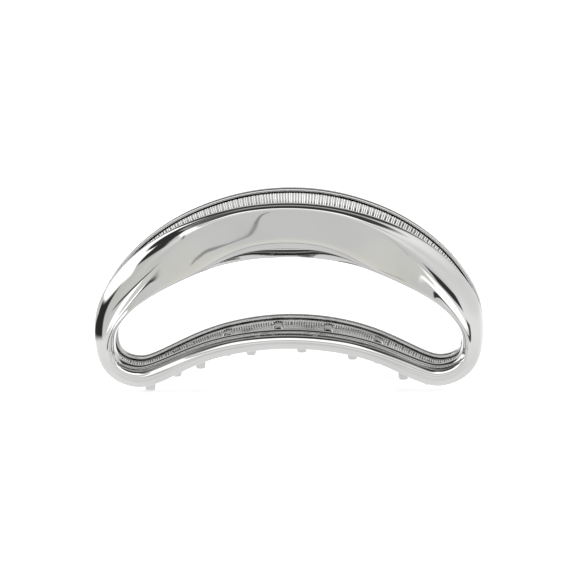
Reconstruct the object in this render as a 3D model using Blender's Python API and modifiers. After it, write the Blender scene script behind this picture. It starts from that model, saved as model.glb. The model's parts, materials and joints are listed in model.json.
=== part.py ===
"""A spring hair claw clip: two open crescent jaws, a pin and a torsion spring. Metres, +Z up."""
import math

import bmesh
import bpy
import numpy as np
from mathutils import Matrix, Vector

MM = 0.001

# The crescent ring, right half, from top centre to bottom centre, in millimetres: a point of the outer edge as (x, z), the point of the opening's edge across from
# it, the width of the roll on the outer side and the width of the roll on the opening's side.
CRESCENT = [
    ((0.0, 49.9), (0.0, 35.1), 1.3, 4.3),
    ((8.5, 49.4), (7.0, 34.8), 1.4, 4.0),
    ((17.5, 47.6), (14.6, 33.6), 1.8, 2.8),
    ((26.8, 44.4), (22.4, 31.3), 3.2, 0.9),
    ((35.0, 40.0), (29.4, 28.2), 5.5, 0.5),
    ((42.4, 34.2), (36.0, 24.6), 7.6, 0.5),
    ((48.1, 27.5), (41.5, 20.6), 7.8, 0.6),
    ((51.6, 20.8), (45.2, 16.3), 6.6, 0.9),
    ((52.5, 14.2), (46.7, 12.8), 4.4, 1.4),
    ((51.9, 7.4), (46.6, 9.0), 3.1, 2.0),
    ((48.9, 2.0), (45.0, 6.1), 2.3, 2.5),
    ((43.0, -0.9), (41.6, 4.9), 2.1, 2.9),
    ((36.9, -0.5), (37.9, 5.3), 2.0, 3.1),
    ((29.2, 3.3), (31.1, 8.3), 2.0, 3.0),
    ((20.5, 7.2), (21.9, 12.1), 2.0, 3.1),
    ((10.4, 9.4), (11.0, 14.6), 2.0, 3.1),
    ((0.0, 10.2), (0.0, 15.4), 2.0, 3.1),
]
END_PAIR = 8
RING_STATIONS = 64
HALF_LENGTH = max(outer[0] for outer, *rest in CRESCENT) * MM

# The ring's section, across the band and inwards from its front.
CLIP_LENGTH = 2 * HALF_LENGTH
CLIP_DEPTH = 0.0415
SECTION_DEPTH = 0.0065
END_SWEEP = 0.0080
LEAN = 0.0030
WALL = 0.0010
ROLL_STEPS = 4
GAP = 0.0003
LINER_THICKNESS = 0.0015

# Teeth.
TOOTH_COUNT = 6
TOOTH_PITCH = 0.0137
TOOTH_DROP = 0.0028
TOOTH_TIP_Y = 0.0034
TOOTH_ROOT_SIZE = (0.0034, 0.0020)
TOOTH_TIP_SIZE = (0.0028, 0.0015)
TOOTH_STATIONS = 6

# Hinge and spring.
HINGE_BELOW_RIM = 0.0104
LUG_RADIUS = 0.0030
LUG_THICKNESS = 0.0020
LUG_OUTER_X = 0.0125
LUG_INNER_X = 0.0100
PIN_RADIUS = 0.0010
PIN_HEAD_RADIUS = 0.0019
PIN_HEAD_LENGTH = 0.0008
WIRE_RADIUS = 0.0006
COIL_RADIUS = 0.0025
COIL_TURNS = 8
COIL_PITCH = 0.00165
COIL_POINTS_PER_TURN = 12
LEG_RISE = 0.0055
LEG_GAP = 0.0006

# The end teeth's tips are cut flat at z = 0, and the crescent's zero height is this much above them.
RING_LIFT = 0.0027
RIM_Z = CRESCENT[0][0][1] * MM + RING_LIFT
HINGE_Z = RIM_Z - HINGE_BELOW_RIM


def clear_scene():
    for obj in list(bpy.data.objects):
        bpy.data.objects.remove(obj)


def new_collection(name):
    collection = bpy.data.collections.new(name)
    bpy.context.scene.collection.children.link(collection)
    return collection


def mix(a, b, t):
    return a + (b - a) * t


def step(low, high, value):
    """0 at low, 1 at high, and an eased rise between."""
    t = min(max((value - low) / (high - low), 0.0), 1.0)
    return t * t * (3 - 2 * t)


def closed_spline(values, count):
    """count points of the smooth closed curve that passes through the values."""
    values = np.array(values, float)
    n = len(values)
    system = 4 * np.eye(n) + np.roll(np.eye(n), 1, axis=0) + np.roll(np.eye(n), -1, axis=0)
    change = np.roll(values, -1, axis=0) - np.roll(values, 1, axis=0)
    slopes = np.linalg.solve(system, 3 * change)
    found = []
    for k in range(count):
        i, t = divmod(k * n / count, 1)
        i = int(i)
        j = (i + 1) % n
        found.append(
            (2 * t**3 - 3 * t**2 + 1) * values[i]
            + (t**3 - 2 * t**2 + t) * slopes[i]
            + (3 * t**2 - 2 * t**3) * values[j]
            + (t**3 - t**2) * slopes[j]
        )
    return np.array(found)


def ring_stations():
    """Stations round the ring: outer edge, opening edge, two roll widths, and how far round."""
    right = [(*outer, *hole, a, b, k) for k, (outer, hole, a, b) in enumerate(CRESCENT)]
    left = [(-row[0], row[1], -row[2], *row[3:]) for row in right[-2:0:-1]]
    stations = []
    for row in closed_spline(right + left, RING_STATIONS):
        outer = Vector((row[0], row[1])) * MM + Vector((0, RING_LIFT))
        hole = Vector((row[2], row[3])) * MM + Vector((0, RING_LIFT))
        stations.append((outer, hole, row[4] * MM, row[5] * MM, row[6]))
    return stations


def front_y(x, z):
    """How far forward the ring's crest stands: its ends and its foot lean to the other jaw."""
    return -CLIP_DEPTH / 2 + END_SWEEP * (x / HALF_LENGTH) ** 2 + LEAN * (1 - z / RIM_Z)


def shell_profile(width, outer_roll, inner_roll, place):
    """The shell's outer surface as (across, inwards) points, from the outer lip to the hole's.

    On the wide band a nearly flat face lies between two rolls. On the slim bar the outer roll
    becomes a flat slanted wall, and at the band's crown the inner roll becomes a chamfer.
    """
    slab = step(END_PAIR, END_PAIR + 2.5, place)
    crown = step(3.5, 1.0, place)
    outer_drop = (4.4 - 0.7 * slab - 0.4 * crown) * MM
    inner_drop = (4.2 - 0.4 * crown) * MM
    face_start = (0.55 + 0.30 * crown - 0.5 * slab) * MM
    face_end = 0.15 * MM * (1 - crown) * (1 - slab)
    points = [(0.0, SECTION_DEPTH)]
    for k in range(ROLL_STEPS + 1):
        t = k / ROLL_STEPS
        rounded = 1 - math.sqrt(1 - (1 - t) ** 2)
        share = mix(rounded, 1 - t, slab)
        points.append((outer_roll * t, mix(face_start, outer_drop, share)))
    points.append((width - inner_roll, face_end))
    for k in range(1, ROLL_STEPS + 1):
        t = k / ROLL_STEPS
        rounded = 1 - math.sqrt(1 - t * t)
        share = mix(rounded, t, crown)
        points.append((width - inner_roll * (1 - t), mix(face_end, inner_drop, share)))
    points.append((width, SECTION_DEPTH))
    return points


def shell_section(width, outer_roll, inner_roll, place):
    """A C: the outer surface, then the inside of the wall, drawn in towards the mouth's middle."""
    outside = shell_profile(width, outer_roll, inner_roll, place)
    across = 1 - 2 * WALL / width
    inwards = 1 - WALL / SECTION_DEPTH
    inside = [
        (width / 2 + (a - width / 2) * across, SECTION_DEPTH - (SECTION_DEPTH - b) * inwards)
        for a, b in reversed(outside)
    ]
    return outside + inside[:2] + inside[3:-3:2] + inside[-2:]


def liner_section(width, *rolls):
    """A flat bar that fills the mouth of the C, flush with its lips."""
    edge = WALL + GAP
    back = SECTION_DEPTH - LINER_THICKNESS
    return [
        (edge, SECTION_DEPTH),
        (edge, back),
        (width - edge, back),
        (width - edge, SECTION_DEPTH),
    ]


def ring_mesh(name, section):
    """A closed loft of the section round the front ring, in the hinge's own coordinates."""
    mesh = bmesh.new()
    loops = []
    for outer, hole, *rolls in ring_stations():
        width = (hole - outer).length
        across = (hole - outer) / width
        loop = []
        for a, b in section(width, *rolls):
            x, z = outer + across * a
            loop.append(mesh.verts.new((x, front_y(x, z) + b, z - HINGE_Z)))
        loops.append(loop)
    for i, loop in enumerate(loops):
        after = loops[(i + 1) % len(loops)]
        for k in range(len(loop)):
            m = (k + 1) % len(loop)
            mesh.faces.new((loop[k], loop[m], after[m], after[k]))
    bmesh.ops.recalc_face_normals(mesh, faces=mesh.faces)
    return finished_mesh(name, mesh)


def finished_mesh(name, mesh):
    data = bpy.data.meshes.new(name)
    mesh.to_mesh(data)
    mesh.free()
    return data


def bar_at(x):
    """The lower bar's middle at x, its direction along the ring, and its width there."""
    bar = [station for station in ring_stations() if station[4] > END_PAIR + 2]
    bar.sort(key=lambda station: station[0].x + station[1].x)
    for near, far in zip(bar, bar[1:]):
        left = (near[0] + near[1]) / 2
        right = (far[0] + far[1]) / 2
        if left.x <= x <= right.x:
            t = (x - left.x) / (right.x - left.x)
            width = mix((near[1] - near[0]).length, (far[1] - far[0]).length, t)
            return left.lerp(right, t), (right - left).normalized(), width
    raise ValueError("no bar at this x")


def tooth_mesh(x):
    """A hooked tooth at x: it leaves the bar inwards and turns straight down to its tip."""
    middle, along, width = bar_at(x)
    root_y = front_y(x, middle.y) + SECTION_DEPTH - 0.6 * LINER_THICKNESS
    reach = -TOOTH_TIP_Y - root_y
    fall = width / 2 / along.x + TOOTH_DROP
    mesh = bmesh.new()
    loops = []
    for k in range(TOOTH_STATIONS):
        s = k / (TOOTH_STATIONS - 1)
        turn = s * math.pi / 2
        side = along.lerp(Vector((1, 0)), s).normalized()
        centre = middle - Vector((0, fall * (1 - math.cos(turn))))
        y = root_y + reach * math.sin(turn)
        half_w = mix(TOOTH_ROOT_SIZE[0], TOOTH_TIP_SIZE[0], s) / 2
        half_t = mix(TOOTH_ROOT_SIZE[1], TOOTH_TIP_SIZE[1], s) / 2
        steep = math.atan2(fall * math.sin(turn), reach * math.cos(turn))
        up = Vector((-side.y, side.x)) * math.cos(steep)
        loop = []
        for c in range(8):
            angle = math.pi / 8 + c * math.pi / 4
            u = max(-0.92, min(0.92, 1.18 * math.cos(angle))) * half_w
            v = max(-0.92, min(0.92, 1.18 * math.sin(angle))) * half_t
            place = centre + side * u + up * v
            loop.append(mesh.verts.new((place.x, y + v * math.sin(steep), place.y - HINGE_Z)))
        loops.append(loop)
    for near, far in zip(loops, loops[1:]):
        for k in range(8):
            m = (k + 1) % 8
            mesh.faces.new((near[k], near[m], far[m], far[k]))
    mesh.faces.new(loops[0])
    mesh.faces.new(loops[-1])
    bmesh.ops.recalc_face_normals(mesh, faces=mesh.faces)
    return finished_mesh("tooth", mesh)


def helper(name, data, collection):
    obj = bpy.data.objects.new(name, data)
    collection.objects.link(obj)
    obj.hide_render = True
    obj.display_type = "WIRE"
    return obj


def box_mesh(low, high):
    mesh = bmesh.new()
    size = Vector(high) - Vector(low)
    centre = (Vector(high) + Vector(low)) / 2
    place = Matrix.Translation(centre) @ Matrix.Diagonal((*size, 1.0))
    bmesh.ops.create_cube(mesh, size=1.0, matrix=place)
    return finished_mesh("box", mesh)


def disc_mesh(x, radius, thickness, segments):
    """A disc round the hinge's axis, with its middle at x."""
    mesh = bmesh.new()
    place = Matrix.Translation((x, 0, 0)) @ Matrix.Rotation(math.pi / 2, 4, "Y")
    bmesh.ops.create_cone(
        mesh, cap_ends=True, segments=segments, radius1=radius, radius2=radius,
        depth=thickness, matrix=place,
    )
    return finished_mesh("disc", mesh)


def boolean(obj, other, operation):
    modifier = obj.modifiers.new(other.name, "BOOLEAN")
    modifier.operation = operation
    modifier.solver = "EXACT"
    modifier.object = other


def liner_mesh(cutters):
    """The ribbed liner with its teeth and lugs, for the front jaw."""
    ring = helper("liner_ring", ring_mesh("liner_ring", liner_section), cutters)
    for k in range(TOOTH_COUNT):
        x = (k - (TOOTH_COUNT - 1) / 2) * TOOTH_PITCH - TOOTH_PITCH / 4
        boolean(ring, helper(f"tooth_{k}", tooth_mesh(x), cutters), "UNION")
    for x in (-LUG_OUTER_X, LUG_INNER_X):
        arm_y = front_y(x, HINGE_Z) + SECTION_DEPTH - LINER_THICKNESS / 2
        low = (x - LUG_THICKNESS / 2, arm_y, -LUG_RADIUS * 0.82)
        high = (x + LUG_THICKNESS / 2, 0.0, LUG_RADIUS * 0.82)
        boolean(ring, helper("lug_arm", box_mesh(low, high), cutters), "UNION")
        eye = disc_mesh(x, LUG_RADIUS, LUG_THICKNESS, 32)
        boolean(ring, helper("lug_eye", eye, cutters), "UNION")
    bore = disc_mesh(0.0, PIN_RADIUS + GAP, 4 * LUG_OUTER_X, 24)
    boolean(ring, helper("lug_bore", bore, cutters), "DIFFERENCE")
    floor = box_mesh((-CLIP_LENGTH, -CLIP_DEPTH, -2 * HINGE_Z), (CLIP_LENGTH, CLIP_DEPTH, -HINGE_Z))
    boolean(ring, helper("floor", floor, cutters), "DIFFERENCE")
    bpy.context.view_layer.update()
    evaluated = ring.evaluated_get(bpy.context.evaluated_depsgraph_get())
    data = bpy.data.meshes.new_from_object(evaluated)
    data.name = "ribbed_liner"
    return data


def pin_object():
    """A turned pin with a low round head at each end, its axis along X."""
    half = LUG_OUTER_X + LUG_THICKNESS / 2 + GAP
    end = half + PIN_HEAD_LENGTH
    profile = [
        (0.0, end),
        (0.55 * PIN_HEAD_RADIUS, end - 0.10 * PIN_HEAD_LENGTH),
        (PIN_HEAD_RADIUS, end - 0.55 * PIN_HEAD_LENGTH),
        (PIN_HEAD_RADIUS, half),
        (PIN_RADIUS, half),
    ]
    profile += [(r, -z) for r, z in reversed(profile)]
    mesh = bmesh.new()
    points = [mesh.verts.new((r, 0, z)) for r, z in profile]
    for a, b in zip(points, points[1:]):
        mesh.edges.new((a, b))
    pin = bpy.data.objects.new("hinge_pin", finished_mesh("hinge_pin", mesh))
    turn = pin.modifiers.new("turn", "SCREW")
    turn.steps = turn.render_steps = 24
    turn.use_merge_vertices = True
    turn.merge_threshold = 0.00001
    pin.rotation_euler = (0, math.pi / 2, 0)
    return pin


def spring_points():
    """The wire's route round the hinge's axis: a straight leg to each jaw and the coil between.

    Each leg touches the coil's circle where it leaves it, so the wire has no kink there.
    """
    liner_y = front_y(0, HINGE_Z + LEG_RISE) + SECTION_DEPTH
    foot = Vector((liner_y + LEG_GAP + WIRE_RADIUS, LEG_RISE))
    start = math.atan2(foot.y, foot.x) + math.acos(COIL_RADIUS / foot.length)
    end = math.pi - start + 2 * math.pi * (COIL_TURNS + 1)
    half = COIL_PITCH * (end - start) / (4 * math.pi)
    count = round(COIL_POINTS_PER_TURN * (end - start) / (2 * math.pi))
    points = [Vector((-half, foot.x, foot.y))]
    for k in range(count + 1):
        angle = mix(start, end, k / count)
        x = mix(-half, half, k / count)
        points.append(Vector((x, COIL_RADIUS * math.cos(angle), COIL_RADIUS * math.sin(angle))))
    points.append(Vector((half, -foot.x, foot.y)))
    return points


def spring_object():
    curve = bpy.data.curves.new("torsion_spring", "CURVE")
    curve.dimensions = "3D"
    curve.bevel_depth = WIRE_RADIUS
    curve.bevel_resolution = 2
    curve.use_fill_caps = True
    points = spring_points()
    spline = curve.splines.new("POLY")
    spline.points.add(len(points) - 1)
    for slot, place in zip(spline.points, points):
        slot.co = (*place, 1.0)
    return bpy.data.objects.new("torsion_spring", curve)


def metal(name, colour, roughness):
    material = bpy.data.materials.new(name)
    material.use_nodes = True
    shader = material.node_tree.nodes["Principled BSDF"]
    shader.inputs["Base Color"].default_value = (*colour, 1.0)
    shader.inputs["Metallic"].default_value = 1.0
    shader.inputs["Roughness"].default_value = roughness
    return material


def place(obj, parent, collection, material):
    collection.objects.link(obj)
    obj.parent = parent
    if obj.data.materials:
        obj.data.materials[0] = material
    else:
        obj.data.materials.append(material)


def hinge_empty(name, turn, collection):
    """An empty on the hinge's axis that carries one jaw."""
    empty = bpy.data.objects.new(name, None)
    empty.location = (0, 0, HINGE_Z)
    empty.rotation_euler = (0, 0, turn)
    collection.objects.link(empty)
    return empty


def smooth(data):
    data.shade_smooth()
    data.set_sharp_from_angle(angle=math.radians(35))


def main():
    clear_scene()
    parts = new_collection("hair_claw_clip")
    cutters = new_collection("cutters")
    chrome = metal("mirror_chrome", (0.60, 0.60, 0.59), 0.04)
    chrome_dark = metal("liner_chrome", (0.62, 0.62, 0.58), 0.12)
    steel = metal("pin_steel", (0.55, 0.55, 0.54), 0.25)
    spring_steel = metal("spring_steel", (0.48, 0.48, 0.47), 0.30)
    front = hinge_empty("front_jaw", 0.0, parts)
    back = hinge_empty("back_jaw", math.pi, parts)
    shell = ring_mesh("outer_shell", shell_section)
    liner = liner_mesh(cutters)
    smooth(shell)
    smooth(liner)
    for side, jaw in (("front", front), ("back", back)):
        place(bpy.data.objects.new(f"{side}_outer_shell", shell), jaw, parts, chrome)
        place(bpy.data.objects.new(f"{side}_ribbed_liner", liner), jaw, parts, chrome_dark)
    place(pin_object(), front, parts, steel)
    place(spring_object(), front, parts, spring_steel)
    bpy.context.view_layer.update()


main()
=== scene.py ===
"""The finished hair claw clip: two mirror-chrome crescent jaws with ribbed liners, hooked teeth,
a hinge pin and a torsion spring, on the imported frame. Metres, +Z up, -Y out of the front jaw."""
import json
import math

import bmesh
import bpy
import numpy as np
from mathutils import Matrix, Quaternion, Vector


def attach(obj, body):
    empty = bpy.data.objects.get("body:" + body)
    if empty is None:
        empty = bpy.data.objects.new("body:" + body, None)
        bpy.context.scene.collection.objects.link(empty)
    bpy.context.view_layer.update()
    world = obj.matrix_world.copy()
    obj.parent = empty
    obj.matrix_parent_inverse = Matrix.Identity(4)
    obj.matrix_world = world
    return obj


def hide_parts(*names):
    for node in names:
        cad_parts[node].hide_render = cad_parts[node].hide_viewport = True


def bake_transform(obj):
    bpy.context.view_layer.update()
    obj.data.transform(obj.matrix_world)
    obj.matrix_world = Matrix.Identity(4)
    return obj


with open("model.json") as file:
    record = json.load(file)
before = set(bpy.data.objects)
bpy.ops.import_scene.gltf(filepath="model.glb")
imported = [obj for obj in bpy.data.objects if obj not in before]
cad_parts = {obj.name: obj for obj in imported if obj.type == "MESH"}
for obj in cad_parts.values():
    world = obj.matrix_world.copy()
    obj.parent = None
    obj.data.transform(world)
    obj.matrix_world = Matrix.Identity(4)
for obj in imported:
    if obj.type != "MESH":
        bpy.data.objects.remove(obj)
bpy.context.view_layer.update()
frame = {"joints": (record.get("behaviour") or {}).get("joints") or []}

MM = 0.001
HINGE = Vector(frame["joints"][0]["pos_m"])
HALF_LENGTH = 52.5 * MM
FRONT_Y = -20.75 * MM
RING_LIFT = 2.7 * MM
RIM_Z = 52.6 * MM

# The crescent, right half from top centre to bottom centre, in millimetres: outer edge, opening
# edge, width of the outer roll, width of the inner roll.
CRESCENT = [
    ((0.0, 49.9), (0.0, 35.1), 1.3, 4.3),
    ((8.5, 49.4), (7.0, 34.8), 1.4, 4.0),
    ((17.5, 47.6), (14.6, 33.6), 1.8, 2.8),
    ((26.8, 44.4), (22.4, 31.3), 3.2, 0.9),
    ((35.0, 40.0), (29.4, 28.2), 5.5, 0.5),
    ((42.4, 34.2), (36.0, 24.6), 7.6, 0.5),
    ((48.1, 27.5), (41.5, 20.6), 7.8, 0.6),
    ((51.6, 20.8), (45.2, 16.3), 6.6, 0.9),
    ((52.5, 14.2), (46.7, 12.8), 4.4, 1.4),
    ((51.9, 7.4), (46.6, 9.0), 3.1, 2.0),
    ((48.9, 2.0), (45.0, 6.1), 2.3, 2.5),
    ((43.0, -0.9), (41.6, 4.9), 2.1, 2.9),
    ((36.9, -0.5), (37.9, 5.3), 2.0, 3.1),
    ((29.2, 3.3), (31.1, 8.3), 2.0, 3.0),
    ((20.5, 7.2), (21.9, 12.1), 2.0, 3.1),
    ((10.4, 9.4), (11.0, 14.6), 2.0, 3.1),
    ((0.0, 10.2), (0.0, 15.4), 2.0, 3.1),
]
RING_STATIONS = 128
RELAX_PASSES = 3
# Rows of CRESCENT between which the section changes: from the shoulders' to the one at the
# crown's middle, and from the shoulders' to the lower bar's.
CROWN_FADE = (3.5, 1.0)
BAR_START = (8.0, 10.5)

SECTION_DEPTH = 6.5 * MM
END_SWEEP = 8.0 * MM
LEAN = 3.0 * MM
WALL = 1.0 * MM
GAP = 0.3 * MM
LINER_THICKNESS = 1.5 * MM
# How far parts of the shell's section lie behind its crest, in millimetres: at the shoulders, at
# the crown's middle and along the lower bar.
OUTER_ROLL_DEPTH = (4.4, 4.0, 3.7)
FACE_START_DEPTH = (0.55, 0.85, 0.05)
FACE_END_DEPTH = (0.15, 0.0, 0.0)
INNER_ROLL_DEPTH = (4.2, 3.8, 4.2)
ROLL_STEPS = 6
FACE_SHARES = (0.3, 0.7, 0.94)
CHAMFER_CURVE = 0.95
CHAMFER_POWER = 1.15

LINER_EASE = 0.12 * MM
LINER_BEVEL = 0.05 * MM
RIB_PITCH = 0.68 * MM
RIB_WIDTH = 0.44 * MM
RIB_HEIGHT = 0.28 * MM
RIB_END_GAP = 0.25 * MM
RIB_SIDES = 10
RIB_END_SIZE = 0.6
RIB_END_LENGTH = 1.04
RIB_SEARCH_STATIONS = 8 * RING_STATIONS

TOOTH_COUNT = 6
TOOTH_PITCH = 13.7 * MM
TOOTH_DROP = 2.8 * MM
TOOTH_TIP_Y = 3.4 * MM
TOOTH_ROOT_SUNK = 0.5 * MM
TOOTH_LOWEST = 0.02 * MM
# Along the hook, from root to tip: share of the quarter turn, half width, half thickness in mm.
TOOTH_SIZES = [
    (-0.03, 1.9, 1.15), (0.02, 1.85, 1.1), (0.08, 1.7, 1.0), (0.25, 1.6, 0.95),
    (0.45, 1.53, 0.9), (0.65, 1.47, 0.84), (0.82, 1.42, 0.78), (0.92, 1.32, 0.74),
    (0.965, 1.08, 0.6), (0.985, 0.7, 0.4),
]
TOOTH_SIDES = 12
TOOTH_SQUARENESS = 0.7

# A face whose normal lies along an axis by more than this is an end cap.
FLAT = 0.9
ROUND_SIDES = 48
LUG_X = (-12.5 * MM, 10.0 * MM)
LUG_THICKNESS = 2.0 * MM
LUG_RADIUS = 3.0 * MM
LUG_BEVEL = 0.2 * MM
LUG_ARM_OVERRUN = 0.45 * LUG_RADIUS
LUG_ARM_FLATTENED = 0.12
# How far a face of the eye has to look towards the liner for the arm to grow out of it.
LUG_ARM_SIDE = 0.15
BORE_CLEARANCE = 0.08 * MM
PIN_RADIUS = 1.0 * MM
PIN_BEVEL = 0.08 * MM
PIN_HEAD_RADIUS = 1.9 * MM
PIN_HEAD_LENGTH = 0.8 * MM
# Each step of the formed head: its radius against the step before, its share of the length.
PIN_HEAD_STEPS = [(PIN_HEAD_RADIUS / PIN_RADIUS, 0.0), (1.0, 0.45), (0.86, 0.35), (0.5, 0.15)]

WIRE_RADIUS = 0.6 * MM
COIL_RADIUS = 2.5 * MM
COIL_TURNS = 8
COIL_PITCH = 1.65 * MM
COIL_STEP = math.radians(11.25)
LEG_RISE = 5.5 * MM
LEG_GAP = 0.6 * MM

SMUDGE_ROUGHNESS = 0.05
DRAWN_ROUGHNESS = 0.15
DRAWN_LINE_DEPTH = 0.02 * MM

FLOOR_SIZE = 80.0
FLOOR_GLOW = 0.55
FLOOR_VIEWPOINT = (0.0, FRONT_Y, 0.04)
LIGHT_AIM = Vector((0, 0, 0.03))

CAMERA_AZIMUTH = math.radians(2.0)
CAMERA_ELEVATION = math.radians(8.5)
CAMERA_ROLL = math.radians(-0.6)
CAMERA_DISTANCE = 1.4
CAMERA_AIM = Vector((0.0004, FRONT_Y + 0.002, 0.0273 + RING_LIFT))
FRAME_WIDTH = 0.1537
SENSOR_WIDTH_MM = 36.0


# ---------------------------------------------------------------- the crescent's shape

def closed_spline(values, count):
    """count points of the smooth closed curve that passes through the values."""
    values = np.array(values, float)
    n = len(values)
    system = 4 * np.eye(n) + np.roll(np.eye(n), 1, axis=0) + np.roll(np.eye(n), -1, axis=0)
    slopes = np.linalg.solve(system, 3 * (np.roll(values, -1, axis=0) - np.roll(values, 1, axis=0)))
    found = []
    for k in range(count):
        u = k * n / count
        i = int(u)
        t = u - i
        j = (i + 1) % n
        found.append(
            (2 * t**3 - 3 * t**2 + 1) * values[i]
            + (t**3 - 2 * t**2 + t) * slopes[i]
            + (3 * t**2 - 2 * t**3) * values[j]
            + (t**3 - t**2) * slopes[j]
        )
    return np.array(found)


def relaxed(rows, passes):
    """The rows eased towards their neighbours, which takes small wobbles out of a closed curve."""
    for _ in range(passes):
        rows = (np.roll(rows, 1, axis=0) + 2 * rows + np.roll(rows, -1, axis=0)) / 4
    return rows


def ring_stations(count):
    """Rows of outer x, z, opening x, z, outer roll, inner roll and how far round, in metres."""
    right = [(*outer, *hole, a, b, k) for k, (outer, hole, a, b) in enumerate(CRESCENT)]
    left = [(-r[0], r[1], -r[2], *r[3:]) for r in right[-2:0:-1]]
    rows = relaxed(closed_spline(right + left, count), RELAX_PASSES)
    rows[:, :6] *= MM
    rows[:, (1, 3)] += RING_LIFT
    return rows


def front_y(x, z):
    """The crest's Y: the jaw's ends sweep, and its foot leans, towards the other jaw."""
    return FRONT_Y + END_SWEEP * (x / HALF_LENGTH) ** 2 + LEAN * (1 - z / RIM_Z)


def step(low, high, value):
    """0 at low and 1 at high, eased between them and level beyond. Low may be the larger."""
    t = min(max((value - low) / (high - low), 0.0), 1.0)
    return t * t * (3 - 2 * t)


def shell_section(width, outer_roll, inner_roll, place):
    """Points (across, inwards) round the shell's C, from the outer lip over the front and back."""
    crown = step(*CROWN_FADE, place)
    bar = step(*BAR_START, place)

    def depth(shoulder, crown_middle, lower_bar):
        return (shoulder + (crown_middle - shoulder) * crown + (lower_bar - shoulder) * bar) * MM

    outer_drop, inner_drop = depth(*OUTER_ROLL_DEPTH), depth(*INNER_ROLL_DEPTH)
    face_start, face_end = depth(*FACE_START_DEPTH), depth(*FACE_END_DEPTH)
    points = [(0.0, SECTION_DEPTH), (0.0, (SECTION_DEPTH + outer_drop) / 2)]
    for k in range(ROLL_STEPS + 1):
        t = k / ROLL_STEPS
        curved = 1 - math.sqrt(max(0.0, 1 - (1 - t) ** 2))
        share = curved * (1 - bar) + (1 - t) * bar
        points.append((outer_roll * t, face_start + (outer_drop - face_start) * share))
    face = width - inner_roll - outer_roll
    for t in FACE_SHARES:
        points.append((outer_roll + face * t, face_start + (face_end - face_start) * t))
    for k in range(1, ROLL_STEPS + 1):
        t = k / ROLL_STEPS
        round_over = 1 - math.sqrt(max(0.0, 1 - t * t))
        chamfer = CHAMFER_CURVE * t ** CHAMFER_POWER + (1 - CHAMFER_CURVE) * t
        share = round_over * (1 - crown) + chamfer * crown
        points.append((width - inner_roll * (1 - t), face_end + (inner_drop - face_end) * share))
    points.append((width, (SECTION_DEPTH + inner_drop) / 2))
    points.append((width, SECTION_DEPTH))
    across = 1 - 2 * WALL / width
    inwards = 1 - WALL / SECTION_DEPTH
    wall = [
        (width / 2 + (a - width / 2) * across, SECTION_DEPTH - (SECTION_DEPTH - b) * inwards)
        for a, b in reversed(points)
    ]
    # The wall's inside is plain, so it keeps its ends and only every third point between them.
    return points + wall[0:2] + wall[3:-3:3] + wall[-2:]


def ring_loops(section):
    """The section's points at each station round the front ring."""
    loops = []
    for row in ring_stations(RING_STATIONS):
        outer, hole = Vector(row[0:2]), Vector(row[2:4])
        width = (hole - outer).length
        across = (hole - outer) / width
        loop = []
        for a, b in section(width, row[4], row[5], row[6]):
            spot = outer + across * a
            loop.append((spot.x, front_y(spot.x, spot.y) + b, spot.y))
        loops.append(loop)
    return loops


# ---------------------------------------------------------------- modelling helpers

def deselect_all():
    """Object mode, with nothing selected."""
    if bpy.context.mode != "OBJECT":
        bpy.ops.object.mode_set(mode="OBJECT")
    bpy.ops.object.select_all(action="DESELECT")


def named(name):
    """The piece just made, renamed."""
    obj = bpy.context.active_object
    obj.name = obj.data.name = name
    return obj


def make_active(obj):
    deselect_all()
    obj.select_set(True)
    bpy.context.view_layer.objects.active = obj


def apply_modifier(obj, kind, name, **settings):
    """A modifier with these settings, added and applied."""
    make_active(obj)
    modifier = obj.modifiers.new(name, kind)
    for key, value in settings.items():
        setattr(modifier, key, value)
    bpy.ops.object.modifier_apply(modifier=modifier.name)


def pick_faces(obj, wanted):
    """In edit mode, only the wanted faces are selected."""
    bpy.ops.mesh.select_all(action="DESELECT")
    mesh = bmesh.from_edit_mesh(obj.data)
    for face in mesh.faces:
        if wanted(face):
            face.select_set(True)
    bmesh.update_edit_mesh(obj.data)


def subdivided(obj, levels):
    """The object's surface smoothed by this many levels of subdivision."""
    apply_modifier(obj, "SUBSURF", "smooth", levels=levels, render_levels=levels)


def settled(obj, sharp_degrees):
    """The object with its place, turn and scale put in the mesh, normals outwards, and smooth
    shading that keeps sharp corners."""
    make_active(obj)
    bpy.ops.object.transform_apply(location=True, rotation=True, scale=True)
    bpy.ops.object.mode_set(mode="EDIT")
    bpy.ops.mesh.select_all(action="SELECT")
    bpy.ops.mesh.remove_doubles(threshold=0.000001)
    bpy.ops.mesh.normals_make_consistent(inside=False)
    bpy.ops.object.mode_set(mode="OBJECT")
    bpy.ops.object.shade_smooth_by_angle(angle=math.radians(sharp_degrees))
    return obj


def bridged(name, loops, closed):
    """Each loop drawn as a circle primitive, moved onto its section and bridged to the next.

    It makes a ring when closed, and otherwise a rod with its two ends filled."""
    deselect_all()
    bpy.ops.mesh.primitive_circle_add(vertices=len(loops[0]), radius=MM)
    obj = named(name)
    bpy.ops.object.mode_set(mode="EDIT")
    bpy.ops.mesh.select_all(action="SELECT")
    bpy.ops.mesh.delete(type="VERT")
    for loop in loops:
        bpy.ops.mesh.select_all(action="DESELECT")
        bpy.ops.mesh.primitive_circle_add(vertices=len(loop), radius=MM)
        mesh = bmesh.from_edit_mesh(obj.data)
        for vert, spot in zip([v for v in mesh.verts if v.select], loop):
            vert.co = obj.matrix_world.inverted() @ Vector(spot)
        if not closed and (loop is loops[0] or loop is loops[-1]):
            bpy.ops.mesh.edge_face_add()
        bmesh.update_edit_mesh(obj.data)
    bpy.ops.mesh.select_all(action="SELECT")
    bpy.ops.mesh.bridge_edge_loops(type="CLOSED" if closed else "SINGLE")
    bpy.ops.object.mode_set(mode="OBJECT")
    return obj


def joined(name, objects):
    """The objects joined into one mesh with this name."""
    deselect_all()
    for obj in objects:
        obj.select_set(True)
    bpy.context.view_layer.objects.active = objects[0]
    bpy.ops.object.join()
    return named(name)


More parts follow.
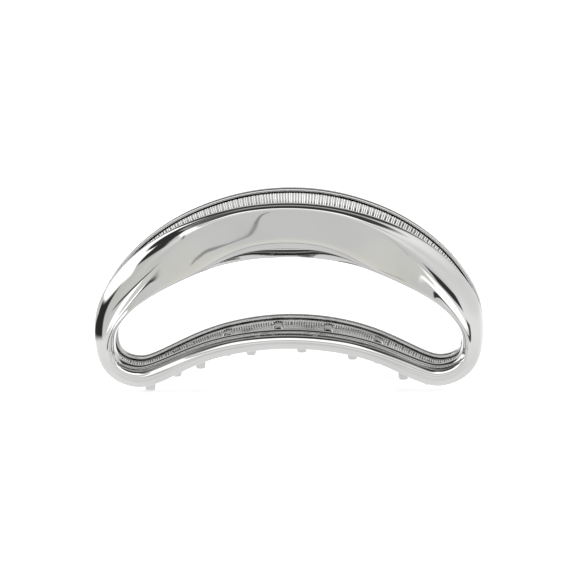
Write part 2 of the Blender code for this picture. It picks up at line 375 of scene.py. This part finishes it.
def turned_copy(obj, name):
    """The same moulding for the back jaw: half a turn about the vertical, with its own mesh."""
    copy = obj.copy()
    copy.data = obj.data.copy()
    copy.name = copy.data.name = name
    copy.data.transform(Matrix.Rotation(math.pi, 4, "Z"))
    bpy.context.collection.objects.link(copy)
    return copy


# ---------------------------------------------------------------- the pieces

def outer_shell():
    """The mirror-bright ring of C section, as smooth as its plating has to look."""
    shell = bridged("front_shell", ring_loops(shell_section), closed=True)
    subdivided(shell, 2)
    return settled(shell, sharp_degrees=60)


def liner_section(width, outer_roll, inner_roll, place):
    """A flat bar with eased corners that fills the mouth of the C."""
    edge = WALL + GAP
    sunk = SECTION_DEPTH - LINER_THICKNESS
    return [
        (edge + LINER_EASE, SECTION_DEPTH),
        (edge, SECTION_DEPTH - LINER_EASE),
        (edge, sunk + LINER_EASE),
        (edge + LINER_EASE, sunk),
        (width - edge - LINER_EASE, sunk),
        (width - edge, sunk + LINER_EASE),
        (width - edge, SECTION_DEPTH - LINER_EASE),
        (width - edge - LINER_EASE, SECTION_DEPTH),
    ]


def one_rib():
    """A low rounded rib of unit length, half sunk in the face that it stands on."""
    deselect_all()
    bpy.ops.mesh.primitive_cylinder_add(vertices=RIB_SIDES, radius=1.0, depth=1.0)
    rib = named("rib")
    bpy.ops.object.mode_set(mode="EDIT")
    pick_faces(rib, lambda face: abs(face.normal.z) > FLAT)
    bpy.ops.mesh.extrude_region_move(TRANSFORM_OT_translate={"value": (0, 0, 0)})
    bpy.ops.transform.resize(value=(RIB_END_SIZE, RIB_END_SIZE, RIB_END_LENGTH))
    bpy.ops.object.mode_set(mode="OBJECT")
    return rib


def liner_ribs():
    """Ribs all round the liner's inner face, across the ring, at an even pitch."""
    rib = one_rib()
    rows = ring_stations(RIB_SEARCH_STATIONS)
    middles = (rows[:, 0:2] + rows[:, 2:4]) / 2
    steps = np.linalg.norm(np.roll(middles, -1, axis=0) - middles, axis=1)
    travelled = np.concatenate([[0], np.cumsum(steps)[:-1]])
    count = round(steps.sum() / RIB_PITCH)
    wanted = np.arange(count) * steps.sum() / count
    spots = np.searchsorted(travelled, wanted).clip(0, len(rows) - 1)
    margin = WALL + GAP + RIB_END_GAP
    mesh = bmesh.new()
    for row in rows[spots]:
        outer, hole = Vector(row[0:2]), Vector(row[2:4])
        across = (hole - outer).normalized()
        low, high = outer + across * margin, hole - across * margin
        start = Vector((low.x, front_y(low.x, low.y) + SECTION_DEPTH, low.y))
        end = Vector((high.x, front_y(high.x, high.y) + SECTION_DEPTH, high.y))
        along = (end - start).normalized()
        side = along.cross(Vector((0, 1, 0))).normalized()
        out = side.cross(along)
        axes = Matrix((side * RIB_WIDTH / 2, out * RIB_HEIGHT, along * (end - start).length))
        place = Matrix.Translation((start + end) / 2) @ axes.transposed().to_4x4()
        before = len(mesh.verts)
        mesh.from_mesh(rib.data)
        mesh.verts.ensure_lookup_table()
        bmesh.ops.transform(mesh, matrix=place, verts=mesh.verts[before:])
    bpy.data.objects.remove(rib)
    data = bpy.data.meshes.new("front_grip_ribs")
    mesh.to_mesh(data)
    mesh.free()
    ribs = bpy.data.objects.new("front_grip_ribs", data)
    bpy.context.collection.objects.link(ribs)
    return settled(ribs, sharp_degrees=50)


def bar_at(x):
    """The lower bar's middle at x, its direction along the ring, and its width there."""
    rows = [r for r in ring_stations(RING_STATIONS) if r[6] > BAR_START[1]]
    rows.sort(key=lambda r: r[0] + r[2])
    for near, far in zip(rows, rows[1:]):
        left = Vector(((near[0] + near[2]) / 2, (near[1] + near[3]) / 2))
        right = Vector(((far[0] + far[2]) / 2, (far[1] + far[3]) / 2))
        if left.x <= x <= right.x:
            t = (x - left.x) / (right.x - left.x)
            width = np.hypot(near[0] - near[2], near[1] - near[3])
            return left.lerp(right, t), (right - left).normalized(), width
    raise ValueError("no bar at this x")


def squared(value):
    """A circle's sine or cosine, pushed out so that a round section turns nearly square."""
    return math.copysign(abs(value) ** TOOTH_SQUARENESS, value)


def tooth(x):
    """A hooked tooth: flared at its root, running inwards, turning down to a rounded tip."""
    middle, along, width = bar_at(x)
    root_y = front_y(x, middle.y) + SECTION_DEPTH - TOOTH_ROOT_SUNK
    reach = -TOOTH_TIP_Y - root_y
    fall = width / 2 / along.x + TOOTH_DROP
    loops = []
    for share, half_width, half_thickness in TOOTH_SIZES:
        turn = share * math.pi / 2
        side = along.lerp(Vector((1, 0)), max(share, 0)).normalized()
        centre = middle - Vector((0, fall * (1 - math.cos(turn))))
        y = root_y + reach * math.sin(turn)
        steep = math.atan2(fall * math.sin(turn), reach * math.cos(turn))
        up = Vector((-side.y, side.x)) * math.cos(steep)
        loop = []
        for corner in range(TOOTH_SIDES):
            angle = (corner + 0.5) * 2 * math.pi / TOOTH_SIDES
            u = squared(math.cos(angle)) * half_width * MM
            v = squared(math.sin(angle)) * half_thickness * MM
            spot = centre + side * u + up * v
            loop.append((spot.x, y + v * math.sin(steep), max(spot.y, TOOTH_LOWEST)))
        loops.append(loop)
    made = bridged("tooth", loops, closed=False)
    subdivided(made, 1)
    return made


def liner_with_teeth():
    """The liner's ring and its teeth. The back jaw's teeth fall midway between the front's."""
    ring = bridged("front_liner", ring_loops(liner_section), closed=True)
    apply_modifier(ring, "BEVEL", "ease", width=LINER_BEVEL, segments=2, limit_method="ANGLE")
    middle = (TOOTH_COUNT - 1) / 2
    teeth = [tooth((k - middle) * TOOTH_PITCH - TOOTH_PITCH / 4) for k in range(TOOTH_COUNT)]
    settled(ring, sharp_degrees=35)
    for one in teeth:
        settled(one, sharp_degrees=60)
    return ring, joined("front_teeth", teeth)


def lug(x):
    """An eye round the hinge's axis with an arm drawn out of it to the liner."""
    deselect_all()
    bpy.ops.mesh.primitive_cylinder_add(
        vertices=ROUND_SIDES, radius=LUG_RADIUS, depth=LUG_THICKNESS,
        location=(x, 0, HINGE.z), rotation=(0, math.pi / 2, 0),
    )
    eye = named("lug")
    bpy.ops.object.transform_apply(location=True, rotation=True, scale=True)
    bpy.ops.object.mode_set(mode="EDIT")
    pick_faces(eye, lambda face: face.normal.y < -LUG_ARM_SIDE and abs(face.normal.x) < FLAT)
    arm = front_y(x, HINGE.z) + SECTION_DEPTH - LINER_THICKNESS / 2 + LUG_ARM_OVERRUN
    bpy.ops.mesh.extrude_region_move(TRANSFORM_OT_translate={"value": (0, arm, 0)})
    bpy.ops.transform.resize(value=(1.0, LUG_ARM_FLATTENED, 1.0))
    bpy.ops.object.mode_set(mode="OBJECT")
    bpy.ops.mesh.primitive_cylinder_add(
        vertices=ROUND_SIDES, radius=PIN_RADIUS + BORE_CLEARANCE, depth=3 * LUG_THICKNESS,
        location=(x, 0, HINGE.z), rotation=(0, math.pi / 2, 0),
    )
    drill = named("drill")
    apply_modifier(eye, "BOOLEAN", "bore", operation="DIFFERENCE", solver="EXACT", object=drill)
    bpy.data.objects.remove(drill)
    apply_modifier(eye, "BEVEL", "ease", width=LUG_BEVEL, segments=3, limit_method="ANGLE")
    return settled(eye, sharp_degrees=45)


def hinge_pin():
    """A drawn rod with a low head formed on each end."""
    half = abs(LUG_X[0]) + LUG_THICKNESS / 2 + GAP
    deselect_all()
    bpy.ops.mesh.primitive_cylinder_add(
        vertices=ROUND_SIDES, radius=PIN_RADIUS, depth=2 * half,
        location=HINGE, rotation=(0, math.pi / 2, 0),
    )
    pin = named("pin")
    bpy.ops.object.transform_apply(location=True, rotation=True, scale=True)
    for side in (-1, 1):
        bpy.ops.object.mode_set(mode="EDIT")
        pick_faces(
            pin,
            lambda face: face.normal.x * side > FLAT and face.calc_center_median().x * side > 0,
        )
        for grow, share in PIN_HEAD_STEPS:
            bpy.ops.mesh.extrude_region_move(
                TRANSFORM_OT_translate={"value": (side * share * PIN_HEAD_LENGTH, 0, 0)}
            )
            bpy.ops.transform.resize(value=(1, grow, grow))
        bpy.ops.object.mode_set(mode="OBJECT")
    apply_modifier(pin, "BEVEL", "ease", width=PIN_BEVEL, segments=2, limit_method="ANGLE")
    return settled(pin, sharp_degrees=45)


def spring_points():
    """The wire's route: a straight leg to each jaw, touching the coil where it leaves it."""
    liner_y = front_y(0, HINGE.z + LEG_RISE) + SECTION_DEPTH
    foot = Vector((liner_y + LEG_GAP + WIRE_RADIUS, LEG_RISE))
    start = math.atan2(foot.y, foot.x) + math.acos(COIL_RADIUS / foot.length)
    end = math.pi - start + 2 * math.pi * (COIL_TURNS + 1)
    half = COIL_PITCH * (end - start) / (4 * math.pi)
    count = int((end - start) / COIL_STEP)
    points = [Vector((-half, foot.x, foot.y))]
    for k in range(count + 1):
        angle = start + (end - start) * k / count
        x = -half + 2 * half * k / count
        points.append(Vector((x, COIL_RADIUS * math.cos(angle), COIL_RADIUS * math.sin(angle))))
    points.append(Vector((half, -foot.x, foot.y)))
    return [p + HINGE for p in points]


def torsion_spring():
    """The wire along its route, as a round bevelled curve turned into a mesh."""
    curve = bpy.data.curves.new("spring", "CURVE")
    curve.dimensions = "3D"
    curve.bevel_depth = WIRE_RADIUS
    curve.bevel_resolution = 4
    curve.use_fill_caps = True
    points = spring_points()
    spline = curve.splines.new("POLY")
    spline.points.add(len(points) - 1)
    for knot, spot in zip(spline.points, points):
        knot.co = (*spot, 1.0)
    spring = bpy.data.objects.new("spring", curve)
    bpy.context.collection.objects.link(spring)
    make_active(spring)
    bpy.ops.object.convert(target="MESH")
    return settled(spring, sharp_degrees=50)


# ---------------------------------------------------------------- finishes

def new_group(name, inputs, outputs):
    """A shader node group with float inputs, and outputs given as (name, socket type)."""
    group = bpy.data.node_groups.new(name, "ShaderNodeTree")
    for label, value in inputs:
        socket = group.interface.new_socket(label, in_out="INPUT", socket_type="NodeSocketFloat")
        socket.default_value = value
    for label, kind in outputs:
        group.interface.new_socket(label, in_out="OUTPUT", socket_type=kind)
    return group, group.nodes.new("NodeGroupInput"), group.nodes.new("NodeGroupOutput")


def calculated(nodes, links, operation, *values):
    """The output of a math node whose inputs are these numbers and sockets."""
    node = nodes.new("ShaderNodeMath")
    node.operation = operation
    for socket, value in zip(node.inputs, values):
        if isinstance(value, float):
            socket.default_value = value
        else:
            links.new(value, socket)
    return node.outputs[0]


def moulding_waves():
    """Slow waves that a plated moulding shows in its reflections, as a height."""
    group, given, out = new_group(
        "moulding_waves", [("Scale", 60.0), ("Ripple", 0.3)], [("Height", "NodeSocketFloat")]
    )
    nodes, links = group.nodes, group.links
    place = nodes.new("ShaderNodeTexCoord")
    slow = nodes.new("ShaderNodeTexNoise")
    slow.inputs["Detail"].default_value = 0.0
    fine = nodes.new("ShaderNodeTexNoise")
    fine.inputs["Detail"].default_value = 1.0
    links.new(place.outputs["Object"], slow.inputs["Vector"])
    links.new(place.outputs["Object"], fine.inputs["Vector"])
    links.new(given.outputs["Scale"], slow.inputs["Scale"])
    faster = calculated(nodes, links, "MULTIPLY", given.outputs["Scale"], 4.0)
    links.new(faster, fine.inputs["Scale"])
    ripple = (fine.outputs["Fac"], given.outputs["Ripple"])
    height = calculated(nodes, links, "MULTIPLY_ADD", *ripple, slow.outputs["Fac"])
    links.new(height, out.inputs["Height"])
    return group


def handling_marks():
    """Where fingers and drawers have dulled the plating: a soft smudge mask and hair scratches."""
    group, given, out = new_group(
        "handling_marks",
        [("Smudge Scale", 45.0), ("Scratch Scale", 900.0)],
        [("Smudge", "NodeSocketFloat"), ("Scratch", "NodeSocketFloat")],
    )
    nodes, links = group.nodes, group.links
    place = nodes.new("ShaderNodeTexCoord")
    smudge = nodes.new("ShaderNodeTexNoise")
    smudge.inputs["Detail"].default_value = 5.0
    soft = nodes.new("ShaderNodeMapRange")
    soft.inputs["From Min"].default_value = 0.45
    soft.inputs["From Max"].default_value = 0.75
    stretch = nodes.new("ShaderNodeMapping")
    stretch.inputs["Rotation"].default_value = (0.3, 0.5, 0.2)
    stretch.inputs["Scale"].default_value = (0.06, 1.0, 1.0)
    hair = nodes.new("ShaderNodeTexNoise")
    hair.inputs["Detail"].default_value = 2.0
    thin = nodes.new("ShaderNodeMapRange")
    thin.inputs["From Min"].default_value = 0.66
    thin.inputs["From Max"].default_value = 0.72
    links.new(place.outputs["Object"], smudge.inputs["Vector"])
    links.new(given.outputs["Smudge Scale"], smudge.inputs["Scale"])
    links.new(smudge.outputs["Fac"], soft.inputs["Value"])
    links.new(soft.outputs["Result"], out.inputs["Smudge"])
    links.new(place.outputs["Object"], stretch.inputs["Vector"])
    links.new(stretch.outputs["Vector"], hair.inputs["Vector"])
    links.new(given.outputs["Scratch Scale"], hair.inputs["Scale"])
    links.new(hair.outputs["Fac"], thin.inputs["Value"])
    links.new(thin.outputs["Result"], out.inputs["Scratch"])
    return group


def drawn_lines():
    """Fine lines along X that drawing through a die leaves on wire and rod."""
    group, given, out = new_group(
        "drawn_lines", [("Scale", 2500.0)], [("Lines", "NodeSocketFloat")]
    )
    nodes, links = group.nodes, group.links
    place = nodes.new("ShaderNodeTexCoord")
    stretch = nodes.new("ShaderNodeMapping")
    stretch.inputs["Scale"].default_value = (0.02, 1.0, 1.0)
    lines = nodes.new("ShaderNodeTexNoise")
    lines.inputs["Detail"].default_value = 3.0
    links.new(place.outputs["Object"], stretch.inputs["Vector"])
    links.new(stretch.outputs["Vector"], lines.inputs["Vector"])
    links.new(given.outputs["Scale"], lines.inputs["Scale"])
    links.new(lines.outputs["Fac"], out.inputs["Lines"])
    return group


def blank_metal(name):
    """A new metal, with its nodes, its links and its shader."""
    material = bpy.data.materials.new(name)
    material.use_nodes = True
    shader = material.node_tree.nodes["Principled BSDF"]
    shader.inputs["Metallic"].default_value = 1.0
    return material, material.node_tree.nodes, material.node_tree.links, shader


def placed(nodes, group, **values):
    """The group as a node, with these input values. An underscore stands for a space."""
    node = nodes.new("ShaderNodeGroup")
    node.node_tree = group
    for label, value in values.items():
        node.inputs[label.replace("_", " ")].default_value = value
    return node


def tinted(nodes, links, mask, clean, marked):
    """A colour that goes from clean to marked with the mask."""
    blend = nodes.new("ShaderNodeMix")
    blend.data_type = "RGBA"
    blend.inputs["A"].default_value = (*clean, 1)
    blend.inputs["B"].default_value = (*marked, 1)
    links.new(mask, blend.inputs["Factor"])
    return blend.outputs["Result"]


def ranged(nodes, links, value, low, high):
    """The value, 0 to 1, spread between low and high."""
    spread = nodes.new("ShaderNodeMapRange")
    spread.inputs["To Min"].default_value = low
    spread.inputs["To Max"].default_value = high
    links.new(value, spread.inputs["Value"])
    return spread.outputs["Result"]


def bumped(nodes, links, shader, height, distance):
    """The height, as relief this deep in metres, on the shader's normal."""
    bump = nodes.new("ShaderNodeBump")
    bump.inputs["Distance"].default_value = distance
    links.new(height, bump.inputs["Height"])
    links.new(bump.outputs["Normal"], shader.inputs["Normal"])


def plated(name, waves, marks, clean, dulled, roughness, wave_depth):
    """Bright plating on a moulding: near-mirror, slightly wavy, with smudges and hair scratches."""
    material, nodes, links, shader = blank_metal(name)
    swell = placed(nodes, waves, Scale=42.0, Ripple=0.03)
    worn = placed(nodes, marks, Smudge_Scale=55.0, Scratch_Scale=1400.0)
    scratch, smudge = worn.outputs["Scratch"], worn.outputs["Smudge"]
    links.new(tinted(nodes, links, smudge, clean, dulled), shader.inputs["Base Color"])
    either = calculated(nodes, links, "MULTIPLY_ADD", scratch, 0.5, smudge)
    rough = ranged(nodes, links, either, roughness, roughness + SMUDGE_ROUGHNESS)
    links.new(rough, shader.inputs["Roughness"])
    bumped(nodes, links, shader, swell.outputs["Height"], wave_depth)
    return material


def drawn_steel(name, lines, bright, dark, roughness):
    """Steel wire or rod, with fine lines along it."""
    material, nodes, links, shader = blank_metal(name)
    drawn = placed(nodes, lines, Scale=2500.0).outputs["Lines"]
    links.new(tinted(nodes, links, drawn, bright, dark), shader.inputs["Base Color"])
    rough = ranged(nodes, links, drawn, roughness, roughness + DRAWN_ROUGHNESS)
    links.new(rough, shader.inputs["Roughness"])
    bumped(nodes, links, shader, drawn, DRAWN_LINE_DEPTH)
    return material


# ---------------------------------------------------------------- the studio

def sky_ramp(nodes, rows):
    """A ramp of (degrees above the horizon, brightness or colour) rows, from -90 to 90 degrees."""
    node = nodes.new("ShaderNodeValToRGB")
    elements = node.color_ramp.elements
    while len(elements) < len(rows):
        elements.new(0.5)
    for element, (angle, tone) in zip(elements, rows):
        element.position = (math.sin(math.radians(angle)) + 1) / 2
        element.color = (*tone, 1) if isinstance(tone, tuple) else (tone, tone, tone, 1)
    return node


def panel_mask():
    """1 inside a soft-edged panel given by its middle, half sizes and slant, all in degrees."""
    group, given, out = new_group(
        "panel_mask",
        [("Azimuth", 0.0), ("Elevation", 0.0), ("Across", 0.0), ("Half Width", 10.0),
         ("Up", 0.0), ("Half Height", 10.0), ("Slant", 0.0), ("Edge", 2.0)],
        [("Mask", "NodeSocketFloat")],
    )
    nodes, links = group.nodes, group.links
    names = ("Azimuth", "Elevation", "Across", "Up", "Slant", "Edge")
    azimuth, elevation, middle, height, slant, edge = (given.outputs[name] for name in names)

    def inside(offset, half):
        size = calculated(nodes, links, "ABSOLUTE", offset)
        depth = calculated(nodes, links, "SUBTRACT", half, size)
        share = calculated(nodes, links, "DIVIDE", depth, edge)
        share = calculated(nodes, links, "ADD", share, 0.5)
        clamp = nodes.new("ShaderNodeMapRange")
        clamp.interpolation_type = "SMOOTHSTEP"
        links.new(share, clamp.inputs["Value"])
        return clamp.outputs["Result"]

    up = calculated(nodes, links, "SUBTRACT", elevation, height)
    lean = calculated(nodes, links, "MULTIPLY", up, slant)
    across = calculated(nodes, links, "SUBTRACT", azimuth, middle)
    across = calculated(nodes, links, "SUBTRACT", across, lean)
    wide = inside(across, given.outputs["Half Width"])
    high = inside(up, given.outputs["Half Height"])
    links.new(calculated(nodes, links, "MULTIPLY", wide, high), out.inputs["Mask"])
    return group


# What stands round the clip, as brightness by degrees above the horizon.
SKY_FRONT = [
    (-50, 0.95), (-37, 0.95), (-35, 0.40), (-33, 0.40), (-31, 1.00), (-19, (1.06, 1.05, 1.00)),
    (-12, (0.98, 0.97, 0.91)), (-8, 0.90), (-2, 0.88), (4, 0.95), (13, 1.20), (20, 1.20),
    (27, 0.70), (31, 0.70), (37, 1.50), (45, 2.00), (56, 2.10), (62, 0.60), (65, 0.05),
]
SKY_RIGHT = [
    (-50, 1.00), (-20, 1.20), (-5, 1.20), (5, 1.05), (20, 1.00), (33, 1.20), (41, 1.30),
    (46, 0.60), (50, 0.08), (70, 0.05),
]
SKY_LEFT = [
    (-50, 1.00), (-20, 1.20), (-14, 0.95), (5, (0.84, 0.83, 0.79)), (41, 0.90), (46, 0.60),
    (50, 0.20), (70, 0.05),
]
SKY_REAR = [
    (-50, 1.00), (-30, 1.25), (-12, 1.25), (0, 0.80), (12, 0.60), (17, 0.06), (31, 0.05),
    (35, 0.60), (43, 0.60), (51, 0.50), (56, 0.05),
]
# Azimuths where the front gives way to each of the others, in degrees from the front.
RIGHT_FADE = (44, 54)
LEFT_FADE = (-44, -54)
REAR_FADE = (146, 158)
# Panels over it: azimuth, half width, elevation, half height, slant, edge, brightness.
PANELS = [
    (-108, 45, 30, 15, -0.75, 4.0, 0.05),
    (-110, 38, 20.5, 11.5, -1.0, 3.0, 2.20),
    (-103, 27, -4, 13, 0.8, 5.0, 0.04),
    (-51, 6.5, 28, 13, -1.15, 3.0, 2.00),
    (-37, 0.8, 8, 9, -0.7, 1.0, 0.40),
    (-55.5, 5, -12.5, 3.6, 2.3, 1.5, 2.20),
    (-49.5, 3.2, -7.2, 2.3, -3.2, 1.0, 0.07),
    (46.5, 6, -4, 3.4, -0.8, 1.5, 0.05),
    (50, 5, -13, 3.8, -2.2, 1.5, 2.20),
    (66, 3.5, -16, 5, -1.0, 1.5, 0.10),
    (-17.6, 0.4, -6.6, 4.6, 2.65, 0.5, 0.40),
    (29, 0.5, -5.0, 3.6, -1.1, 0.6, 0.42),
    (28.3, 0.6, -13, 1.8, 1.5, 0.6, 0.45),
]


def surroundings(panel_shape):
    """The brightness of the studio in a direction."""
    group, given, out = new_group("surroundings", [], [("Color", "NodeSocketColor")])
    group.interface.new_socket("Direction", in_out="INPUT", socket_type="NodeSocketVector")
    nodes, links = group.nodes, group.links
    unit = nodes.new("ShaderNodeVectorMath")
    unit.operation = "NORMALIZE"
    links.new(given.outputs["Direction"], unit.inputs[0])
    parts = nodes.new("ShaderNodeSeparateXYZ")
    links.new(unit.outputs[0], parts.inputs[0])

    forward = calculated(nodes, links, "MULTIPLY", parts.outputs["Y"], -1.0)
    turn = calculated(nodes, links, "ARCTAN2", parts.outputs["X"], forward)
    azimuth = calculated(nodes, links, "MULTIPLY", turn, math.degrees(1))
    climb = calculated(nodes, links, "ARCSINE", parts.outputs["Z"])
    elevation = calculated(nodes, links, "MULTIPLY", climb, math.degrees(1))
    share = calculated(nodes, links, "MULTIPLY_ADD", parts.outputs["Z"], 0.5, 0.5)
    to_either_side = calculated(nodes, links, "ABSOLUTE", azimuth)

    def sky(rows):
        node = sky_ramp(nodes, rows)
        links.new(share, node.inputs["Fac"])
        return node.outputs["Color"]

    def over(below, colour, mask):
        mix = nodes.new("ShaderNodeMix")
        mix.data_type = "RGBA"
        links.new(mask, mix.inputs["Factor"])
        links.new(below, mix.inputs["A"])
        if isinstance(colour, float):
            mix.inputs["B"].default_value = (colour, colour, colour, 1)
        else:
            links.new(colour, mix.inputs["B"])
        return mix.outputs["Result"]

    def past(angle, fade):
        node = nodes.new("ShaderNodeMapRange")
        node.inputs["From Min"].default_value = fade[0]
        node.inputs["From Max"].default_value = fade[1]
        links.new(angle, node.inputs["Value"])
        return node.outputs["Result"]

    colour = over(sky(SKY_FRONT), sky(SKY_RIGHT), past(azimuth, RIGHT_FADE))
    colour = over(colour, sky(SKY_LEFT), past(azimuth, LEFT_FADE))
    colour = over(colour, sky(SKY_REAR), past(to_either_side, REAR_FADE))
    for across, half_width, up, half_height, slant, edge, brightness in PANELS:
        panel = placed(
            nodes, panel_shape, Across=across, Half_Width=half_width,
            Up=up, Half_Height=half_height, Slant=slant, Edge=edge,
        )
        links.new(azimuth, panel.inputs["Azimuth"])
        links.new(elevation, panel.inputs["Elevation"])
        colour = over(colour, float(brightness), panel.outputs["Mask"])
    links.new(colour, out.inputs["Color"])
    return group


def studio_light(around):
    """The world: soft light panels and the dark gaps between them, as in a small studio."""
    world = bpy.data.worlds.new("studio")
    bpy.context.scene.world = world
    world.use_nodes = True
    nodes, links = world.node_tree.nodes, world.node_tree.links
    place = nodes.new("ShaderNodeTexCoord")
    studio = placed(nodes, around)
    links.new(place.outputs["Generated"], studio.inputs["Direction"])
    links.new(studio.outputs["Color"], nodes["Background"].inputs["Color"])


def floor(around):
    """A pale matt sheet. Mirrors see the studio's lower half in it instead of bare white."""
    deselect_all()
    bpy.ops.mesh.primitive_plane_add(size=FLOOR_SIZE)
    sheet = named("pale_floor")
    material = bpy.data.materials.new("pale_floor")
    material.use_nodes = True
    nodes, links = material.node_tree.nodes, material.node_tree.links
    shader = nodes["Principled BSDF"]
    shader.inputs["Roughness"].default_value = 0.9
    place = nodes.new("ShaderNodeTexCoord")
    fleck = nodes.new("ShaderNodeTexNoise")
    fleck.inputs["Scale"].default_value = 900.0
    links.new(place.outputs["Object"], fleck.inputs["Vector"])
    tone = tinted(nodes, links, fleck.outputs["Fac"], (0.78, 0.78, 0.78), (0.80, 0.80, 0.80))
    links.new(tone, shader.inputs["Base Color"])
    shader.inputs["Emission Color"].default_value = (1, 1, 1, 1)
    shader.inputs["Emission Strength"].default_value = FLOOR_GLOW
    drop = nodes.new("ShaderNodeVectorMath")
    drop.operation = "SUBTRACT"
    drop.inputs[1].default_value = FLOOR_VIEWPOINT
    studio = placed(nodes, around)
    seen = nodes.new("ShaderNodeEmission")
    path = nodes.new("ShaderNodeLightPath")
    choice = nodes.new("ShaderNodeMixShader")
    links.new(place.outputs["Object"], drop.inputs[0])
    links.new(drop.outputs[0], studio.inputs["Direction"])
    links.new(studio.outputs["Color"], seen.inputs["Color"])
    links.new(path.outputs["Is Glossy Ray"], choice.inputs["Fac"])
    links.new(shader.outputs["BSDF"], choice.inputs[1])
    links.new(seen.outputs["Emission"], choice.inputs[2])
    links.new(choice.outputs["Shader"], nodes["Material Output"].inputs["Surface"])
    sheet.data.materials.append(material)


def soft_panel(name, location, size, energy):
    """A square soft light that faces the clip and that its plating does not mirror."""
    light = bpy.data.lights.new(name, "AREA")
    light.shape = "SQUARE"
    light.size = size
    light.energy = energy
    panel = bpy.data.objects.new(name, light)
    panel.location = location
    panel.rotation_euler = (LIGHT_AIM - Vector(location)).to_track_quat("-Z", "Y").to_euler()
    panel.visible_glossy = False
    bpy.context.collection.objects.link(panel)


def camera():
    """A long lens a little to the right of the clip and above it, rolled a touch."""
    away = Vector((
        math.sin(CAMERA_AZIMUTH) * math.cos(CAMERA_ELEVATION),
        -math.cos(CAMERA_AZIMUTH) * math.cos(CAMERA_ELEVATION),
        math.sin(CAMERA_ELEVATION),
    ))
    lens = bpy.data.cameras.new("camera")
    lens.sensor_width = SENSOR_WIDTH_MM
    lens.lens = SENSOR_WIDTH_MM * CAMERA_DISTANCE / FRAME_WIDTH
    view = bpy.data.objects.new("camera", lens)
    view.location = CAMERA_AIM + away * CAMERA_DISTANCE
    level = (-away).to_track_quat("-Z", "Y")
    view.rotation_euler = (level @ Quaternion((0, 0, 1), CAMERA_ROLL)).to_euler()
    bpy.context.collection.objects.link(view)
    bpy.context.scene.camera = view


# ---------------------------------------------------------------- assembly

def finish_piece(obj, body, material, replaced=None):
    """The piece with its material, riding its body in place of the plain node it replaces."""
    obj.data.materials.clear()
    obj.data.materials.append(material)
    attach(obj, body)
    if replaced:
        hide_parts(replaced)


def both_jaws():
    """The front jaw's mouldings, and the same turned half a turn for the back jaw."""
    waves, marks = moulding_waves(), handling_marks()
    mirror = plated(
        "mirror_chrome", waves, marks, clean=(0.60, 0.60, 0.595), dulled=(0.56, 0.56, 0.55),
        roughness=0.02, wave_depth=0.22 * MM,
    )
    # The liner and its lugs get a darker chrome colour than the shell: painted shade inside the jaw
    # and between the ribs.
    liner_painted_shade = plated(
        "liner_chrome", waves, marks, clean=(0.45, 0.45, 0.445), dulled=(0.37, 0.37, 0.36),
        roughness=0.10, wave_depth=0.10 * MM,
    )
    # The ribs get a brighter chrome colour than the shell: a painted highlight on their crests.
    crest = plated(
        "rib_chrome_painted_highlight", waves, marks, clean=(0.88, 0.88, 0.87), dulled=(0.76, 0.76, 0.75),
        roughness=0.06, wave_depth=0.10 * MM,
    )
    shell = outer_shell()
    liner, teeth = liner_with_teeth()
    ribs = liner_ribs()
    lugs = joined("front_lugs", [lug(x) for x in LUG_X])
    mouldings = [
        (shell, "shell", mirror, "mirror_chrome", "outer_shell"),
        (liner, "liner", liner_painted_shade, "liner_chrome", "ribbed_liner"),
        (teeth, "teeth", mirror, "liner_chrome", None),
        (ribs, "grip_ribs", crest, "liner_chrome", None),
        (lugs, "lugs", liner_painted_shade, "liner_chrome", None),
    ]
    for front, word, material, slot, node in mouldings:
        back = turned_copy(front, f"back_{word}")
        for piece, side in ((front, "front"), (back, "back")):
            finish_piece(piece, f"{side}_jaw", material, node and f"{side}_{node}")


def hinge():
    """The pin, fixed in the front jaw's lugs, and the spring, wound between the two jaws."""
    lines = drawn_lines()
    rod_steel = drawn_steel(
        "pin_steel", lines, bright=(0.60, 0.60, 0.59), dark=(0.48, 0.48, 0.47), roughness=0.18
    )
    wire_steel = drawn_steel(
        "spring_steel", lines, bright=(0.54, 0.54, 0.53), dark=(0.40, 0.40, 0.39), roughness=0.22
    )
    finish_piece(hinge_pin(), "front_jaw", rod_steel, "hinge_pin")
    spring = torsion_spring()
    spring.data.materials.append(wire_steel)
    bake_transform(spring)
    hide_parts("torsion_spring")


def main():
    bpy.context.scene.view_settings.view_transform = "Standard"
    camera()
    both_jaws()
    hinge()
    around = surroundings(panel_mask())
    studio_light(around)
    floor(around)
    soft_panel("overhead_panel", location=(0.1, -0.2, 0.9), size=0.8, energy=4.0)


main()
